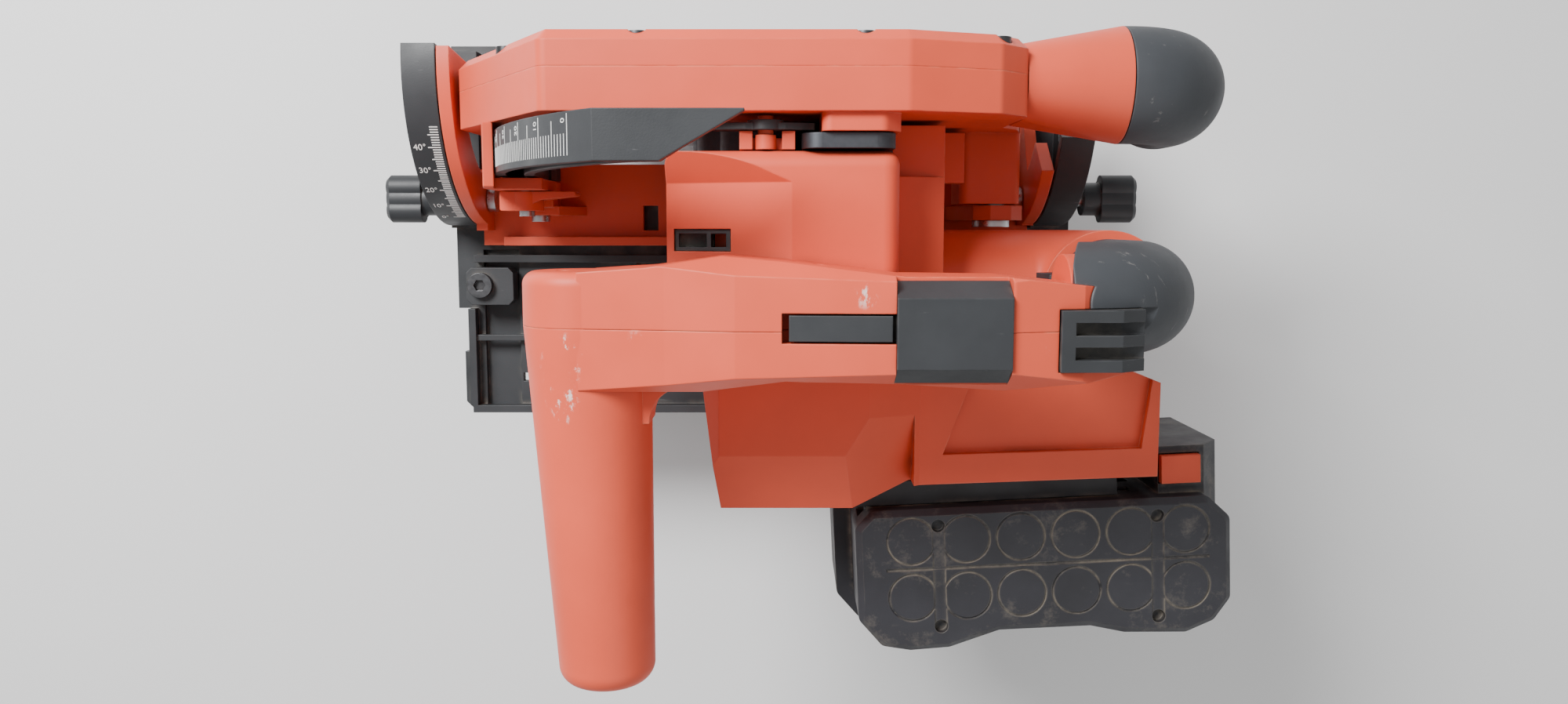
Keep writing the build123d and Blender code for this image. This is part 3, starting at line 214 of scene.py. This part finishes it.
def rubber():
    """Soft dark grey overmould with pale scratches."""
    m = Material("grey_rubber", 0.62)
    color = m.mix(m.span(m.noise(30, 5), 0.3, 0.7), tone(GREY_RUBBER, 0.9), tone(GREY_RUBBER, 1.2))
    lines = m.span(m.noise(70, 7, 0.7, (2.0, 1.0, 7.0)), 0.63, 0.68)
    color = m.mix(m.math("MULTIPLY", lines, 0.28), color, (0.35, 0.33, 0.31, 1))
    rubbed = m.math("MULTIPLY", m.edges(0.0009), m.span(m.noise(90, 4), 0.4, 0.6))
    color = m.mix(m.math("MULTIPLY", rubbed, 0.4), color, (0.17, 0.17, 0.18, 1))
    normal = m.bump(m.noise(1500, 3), 0.2, 0.0001, m.rounded(0.0006))
    return m.finish(color, normal, m.span(m.noise(40, 4), 0.3, 0.7, 0.52, 0.7))


def metal(name, base, rough, stretch=(1.0, 1.0, 1.0)):
    """Machined or plated steel with fine brushing and painted shade in the corners."""
    m = Material(name, rough, 1.0)
    brushed = m.noise(600, 3, 0.6, stretch)
    color = m.mix(m.span(m.noise(50, 4), 0.3, 0.7), tone(base, 0.85), tone(base, 1.08))
    # painted shade: the metal darkens towards near black in corners, following an occlusion mask broken up
    # by noise
    painted_corner_shade = m.math("MULTIPLY", m.crevices(0.003), m.span(m.noise(120, 4), 0.3, 0.6))
    color = m.mix(m.math("MULTIPLY", painted_corner_shade, 0.4), color, (0.05, 0.04, 0.035, 1))
    normal = m.bump(brushed, 0.12, 0.00005, m.rounded(0.0003))
    return m.finish(color, normal, m.span(brushed, 0.2, 0.8, rough - 0.08, rough + 0.1))


def battery_plastic():
    """Charcoal battery shell with beige dirt packed into its rings and ribs."""
    m = Material("battery_plastic")
    color = m.mix(m.span(m.noise(40, 5), 0.3, 0.7), tone(BATTERY_BLACK, 0.85), tone(BATTERY_BLACK, 1.3))
    packed = m.math("MULTIPLY", m.crevices(0.0022, 0.45, 0.9), m.span(m.noise(45, 7, 0.7), 0.40, 0.6))
    color = m.mix(m.math("MULTIPLY", packed, 0.75), color, DUST)
    rubbed = m.math("MULTIPLY", m.edges(0.0008), m.span(m.noise(130, 5), 0.36, 0.58))
    color = m.mix(m.math("MULTIPLY", rubbed, 0.6), color, (0.20, 0.18, 0.15, 1))
    dusty = m.span(m.noise(38, 9, 0.78), 0.54, 0.74)
    color = m.mix(m.math("MULTIPLY", dusty, 0.3), color, DUST)
    normal = m.bump(m.noise(1700, 2), 0.25, 0.0001, m.rounded(0.0006))
    return m.finish(color, normal, m.span(m.noise(60, 5), 0.3, 0.7, 0.44, 0.66))


def plain(name, color, rough):
    """One colour with faint mottling and a fine grain."""
    m = Material(name, rough)
    made = m.mix(m.span(m.noise(80, 4), 0.3, 0.7), tone(color, 0.9), tone(color, 1.08))
    return m.finish(made, m.bump(m.noise(900, 2), 0.08, 0.00005))


# Where hands and the bench have rubbed the handle: x, y, z and radius in millimetres.
HANDLE_SCUFFS = [
    (49, 79, 152, 6), (49.5, 84, 152, 8), (50, 90, 152, 8), (49, 96, 152, 5),
    (27.5, 75, 153, 5), (-36, 62.5, 163, 5), (-84, 79.5, 160, 5),
]

MATERIALS = {
    "red": red_plastic(),
    "handle_red": red_plastic("handle_red", HANDLE_SCUFFS),
    "charcoal": black_plastic(),
    "grey_rubber": rubber(),
    "steel": metal("steel", (0.62, 0.62, 0.63), 0.30),
    "dark_steel": metal("dark_steel", (0.10, 0.10, 0.105), 0.38),
    "cast": metal("cast_alloy", (0.085, 0.09, 0.10), 0.5),
    "blade": metal("blade_steel", (0.60, 0.60, 0.61), 0.28, (1.0, 1.0, 6.0)),
    "copper": metal("copper", (0.62, 0.32, 0.16), 0.35),
    "board": plain("board", (0.02, 0.12, 0.04), 0.4),
    "lens": plain("lens", (0.75, 0.77, 0.78), 0.12),
    "cell": plain("cell_wrap", (0.05, 0.18, 0.30), 0.35),
    "battery": battery_plastic(),
    "scale": plain("scale_white", (0.80, 0.80, 0.78), 0.55),
}

# Nodes that look different from the rest of their slot.
OWN_MATERIAL = {
    "handle_left_shell": "handle_red",
    "handle_right_shell": "handle_red",
    "battery_lower_case": "battery",
    "battery_upper_case": "battery",
    "motor_stator": "dark_steel",
}


def dress_nodes():
    """Give every CAD node the material of its slot, or its own."""
    for entry in frame["record"]["subparts"]:
        node = NODES[entry["node"]]
        name = OWN_MATERIAL.get(entry["node"], entry["material_slot"])
        node.data.materials.clear()
        node.data.materials.append(MATERIALS[name])


# ---------------------------------------------------------------- printed scales
# In millimetres and degrees. The rims are those of the depth arc and the front bevel quadrant.
DEPTH_HINGE = (-92.0, 40.0)
DEPTH_ARC_R = 182.0
DEPTH_ZERO = 40.7
DEPTH_SWING_R = 115.0
DEPTH_FULL = 55
DEPTH_LAST = 65
DEPTH_LINE_END = 24.6
DEPTH_LINE_STARTS = (13.2, 14.8, 18.6)
DEPTH_LINE_WIDTH = 0.32
DEPTH_NUMBER_LEAD = 0.72
DEPTH_NUMBER_SIZE = 3.0
BEVEL_HINGE = (-12.0, 11.0)
BEVEL_RIM_R = 56.0
BEVEL_ZERO = 20.0
BEVEL_LAST = 48
BEVEL_LINE_X = 110.0
BEVEL_LINE_LENGTHS = (4.6, 4.0, 3.0)
BEVEL_LINE_WIDTH = 0.4
BEVEL_NUMBER_X = BEVEL_LINE_X + 7.6
BEVEL_NUMBER_SIZE = 3.4
PRINT = 0.06


def surface_frame(hinge, radius, angle, across):
    """A point on a rim, with its outward direction and the direction of growing angle.

    The rim turns about an axis along Y or X, as across says, through the hinge.
    """
    c, s = cos(radians(angle)), sin(radians(angle))
    point = (hinge[0] + radius * c, hinge[1] + radius * s)
    if across == "y":
        return Vector((point[0], 0, point[1])), Vector((c, 0, s)), Vector((-s, 0, c))
    return Vector((0, point[0], point[1])), Vector((0, c, s)), Vector((0, -s, c))


def add_bar(verts, faces, center, along, wide, out):
    """Thin raised bar: half length along, half width wide, height out on both sides of the surface."""
    first = len(verts)
    for c in (-1, 1):
        for a, b in ((-1, -1), (1, -1), (1, 1), (-1, 1)):
            verts.append((center + a * along + b * wide + c * out) * MM)
    faces += [tuple(first + k for k in quad) for quad in
              ((3, 2, 1, 0), (4, 5, 6, 7), (0, 1, 5, 4), (1, 2, 6, 5), (2, 3, 7, 6), (3, 0, 4, 7))]


def add_number(verts, faces, text, size, center, right, up, out):
    """Flat raised number, centred, in the plane of right and up."""
    curve = bpy.data.curves.new("number", "FONT")
    curve.body = text
    curve.size = size
    curve.align_x = "CENTER"
    curve.align_y = "CENTER"
    curve.extrude = PRINT
    curve.resolution_u = 3
    made = bpy.data.objects.new("number", curve)
    bpy.context.scene.collection.objects.link(made)
    bpy.context.view_layer.update()
    mesh = bpy.data.meshes.new_from_object(made.evaluated_get(bpy.context.evaluated_depsgraph_get()))
    first = len(verts)
    verts += [(center + v.co.x * right + v.co.y * up + v.co.z * out) * MM for v in mesh.vertices]
    faces += [tuple(first + k for k in polygon.vertices) for polygon in mesh.polygons]
    bpy.data.objects.remove(made)
    bpy.data.meshes.remove(mesh)
    bpy.data.curves.remove(curve)


def add_piece(name, verts, faces, material, body):
    mesh = bpy.data.meshes.new(name)
    mesh.from_pydata(verts, [], faces)
    mesh.materials.append(MATERIALS[material])
    piece = bpy.data.objects.new(name, mesh)
    bpy.context.scene.collection.objects.link(piece)
    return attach(piece, body)


def by_step(value, sizes):
    """The size for a scale line: the first at the tens, the second at the fives, else the third."""
    return sizes[0] if value % 10 == 0 else sizes[1] if value % 5 == 0 else sizes[2]


def depth_angle(depth):
    """Angle on the arc of the line for a cutting depth in millimetres."""
    swing = degrees(asin(DEPTH_FULL / DEPTH_SWING_R)) - degrees(asin((DEPTH_FULL - depth) / DEPTH_SWING_R))
    return DEPTH_ZERO - swing


def make_depth_scale():
    verts, faces = [], []
    for depth in range(DEPTH_LAST + 1):
        center, out, grow = surface_frame(DEPTH_HINGE, DEPTH_ARC_R, depth_angle(depth), "y")
        start = by_step(depth, DEPTH_LINE_STARTS)
        center += Vector((0, (start + DEPTH_LINE_END) / 2, 0))
        along = Vector((0, (DEPTH_LINE_END - start) / 2, 0))
        add_bar(verts, faces, center, along, DEPTH_LINE_WIDTH / 2 * grow, PRINT * out)
    for depth in range(0, DEPTH_LAST + 1, 10):
        angle = depth_angle(depth) - DEPTH_NUMBER_LEAD
        center, out, grow = surface_frame(DEPTH_HINGE, DEPTH_ARC_R, angle, "y")
        # a single digit sits closer to the end of its line
        center += Vector((0, 15.6 if depth else 15.0, 0))
        add_number(verts, faces, str(depth), DEPTH_NUMBER_SIZE, center, Vector((0, -1, 0)), -grow, out)
    add_piece("depth_scale_print", verts, faces, "scale", "tilt")


def make_bevel_scale():
    verts, faces = [], []
    for angle in range(BEVEL_LAST + 1):
        center, out, grow = surface_frame(BEVEL_HINGE, BEVEL_RIM_R, BEVEL_ZERO + angle, "x")
        length = by_step(angle, BEVEL_LINE_LENGTHS)
        center += Vector((BEVEL_LINE_X + length / 2, 0, 0))
        add_bar(verts, faces, center, Vector((length / 2, 0, 0)), BEVEL_LINE_WIDTH / 2 * grow, PRINT * out)
    for angle in range(0, BEVEL_LAST + 1, 10):
        center, out, grow = surface_frame(BEVEL_HINGE, BEVEL_RIM_R, BEVEL_ZERO + angle, "x")
        center += Vector((BEVEL_NUMBER_X, 0, 0))
        text = f"{angle}\u00b0"
        add_number(verts, faces, text, BEVEL_NUMBER_SIZE, center, Vector((-1, 0, 0)), grow, out)
    add_piece("bevel_scale_print", verts, faces, "scale", "base")


# ---------------------------------------------------------------- stage and camera
FLOOR_HALF = 6.0
FLOOR_GAP = 0.0002
WORLD_STRENGTH = 0.53
# Name, place, target, size and power of each soft light.
LIGHTS = [
    ("key", (0.42, -0.42, 0.68), (0.02, 0.0, 0.1), 0.4, 16),
    ("fill", (-0.5, 0.9, 0.9), (0, 0.06, 0.05), 1.0, 3),
]
CAMERA = Vector((-13.6, 43.3, 477.0)) * MM
CAMERA_LEAN = radians(6.4)
CAMERA_LENS = 26.25


def make_floor():
    mesh = bpy.data.meshes.new("floor")
    h = FLOOR_HALF
    z = cad_box[0][2] - FLOOR_GAP
    corners = [(-h, -h, z), (h, -h, z), (h, h, z), (-h, h, z)]
    mesh.from_pydata(corners, [], [(0, 1, 2, 3)])
    floor = bpy.data.objects.new("floor", mesh)
    bpy.context.scene.collection.objects.link(floor)
    m = Material("floor_paint", 0.9)
    color = m.mix(m.span(m.noise(3, 4), 0.3, 0.7), (0.80, 0.80, 0.80, 1), (0.84, 0.84, 0.84, 1))
    floor.data.materials.append(m.finish(color))


def area_light(name, place, target, size, power):
    data = bpy.data.lights.new(name, "AREA")
    data.shape = "DISK"
    data.size = size
    data.energy = power
    lamp = bpy.data.objects.new(name, data)
    bpy.context.scene.collection.objects.link(lamp)
    lamp.location = place
    aim = Vector(target) - Vector(place)
    lamp.rotation_euler = aim.to_track_quat("-Z", "Y").to_euler()


def make_lights():
    world = bpy.data.worlds.new("studio")
    bpy.context.scene.world = world
    world.use_nodes = True
    world.node_tree.nodes["Background"].inputs["Color"].default_value = (1, 1, 1, 1)
    world.node_tree.nodes["Background"].inputs["Strength"].default_value = WORLD_STRENGTH
    for light in LIGHTS:
        area_light(*light)


def make_camera():
    """Straight down on the saw, front to the left, leaning a little towards the battery side."""
    data = bpy.data.cameras.new("camera")
    data.lens = CAMERA_LENS
    data.sensor_width = 36.0
    data.clip_start = 0.01
    camera = bpy.data.objects.new("camera", data)
    bpy.context.scene.collection.objects.link(camera)
    s, c = sin(CAMERA_LEAN), cos(CAMERA_LEAN)
    right, up, back = Vector((-1, 0, 0)), Vector((0, -c, -s)), Vector((0, -s, c))
    turn = Matrix((right, up, back)).transposed()
    camera.matrix_world = Matrix.Translation(CAMERA) @ turn.to_4x4()
    bpy.context.scene.camera = camera


dress_nodes()
make_depth_scale()
make_bevel_scale()
make_floor()
make_lights()
make_camera()
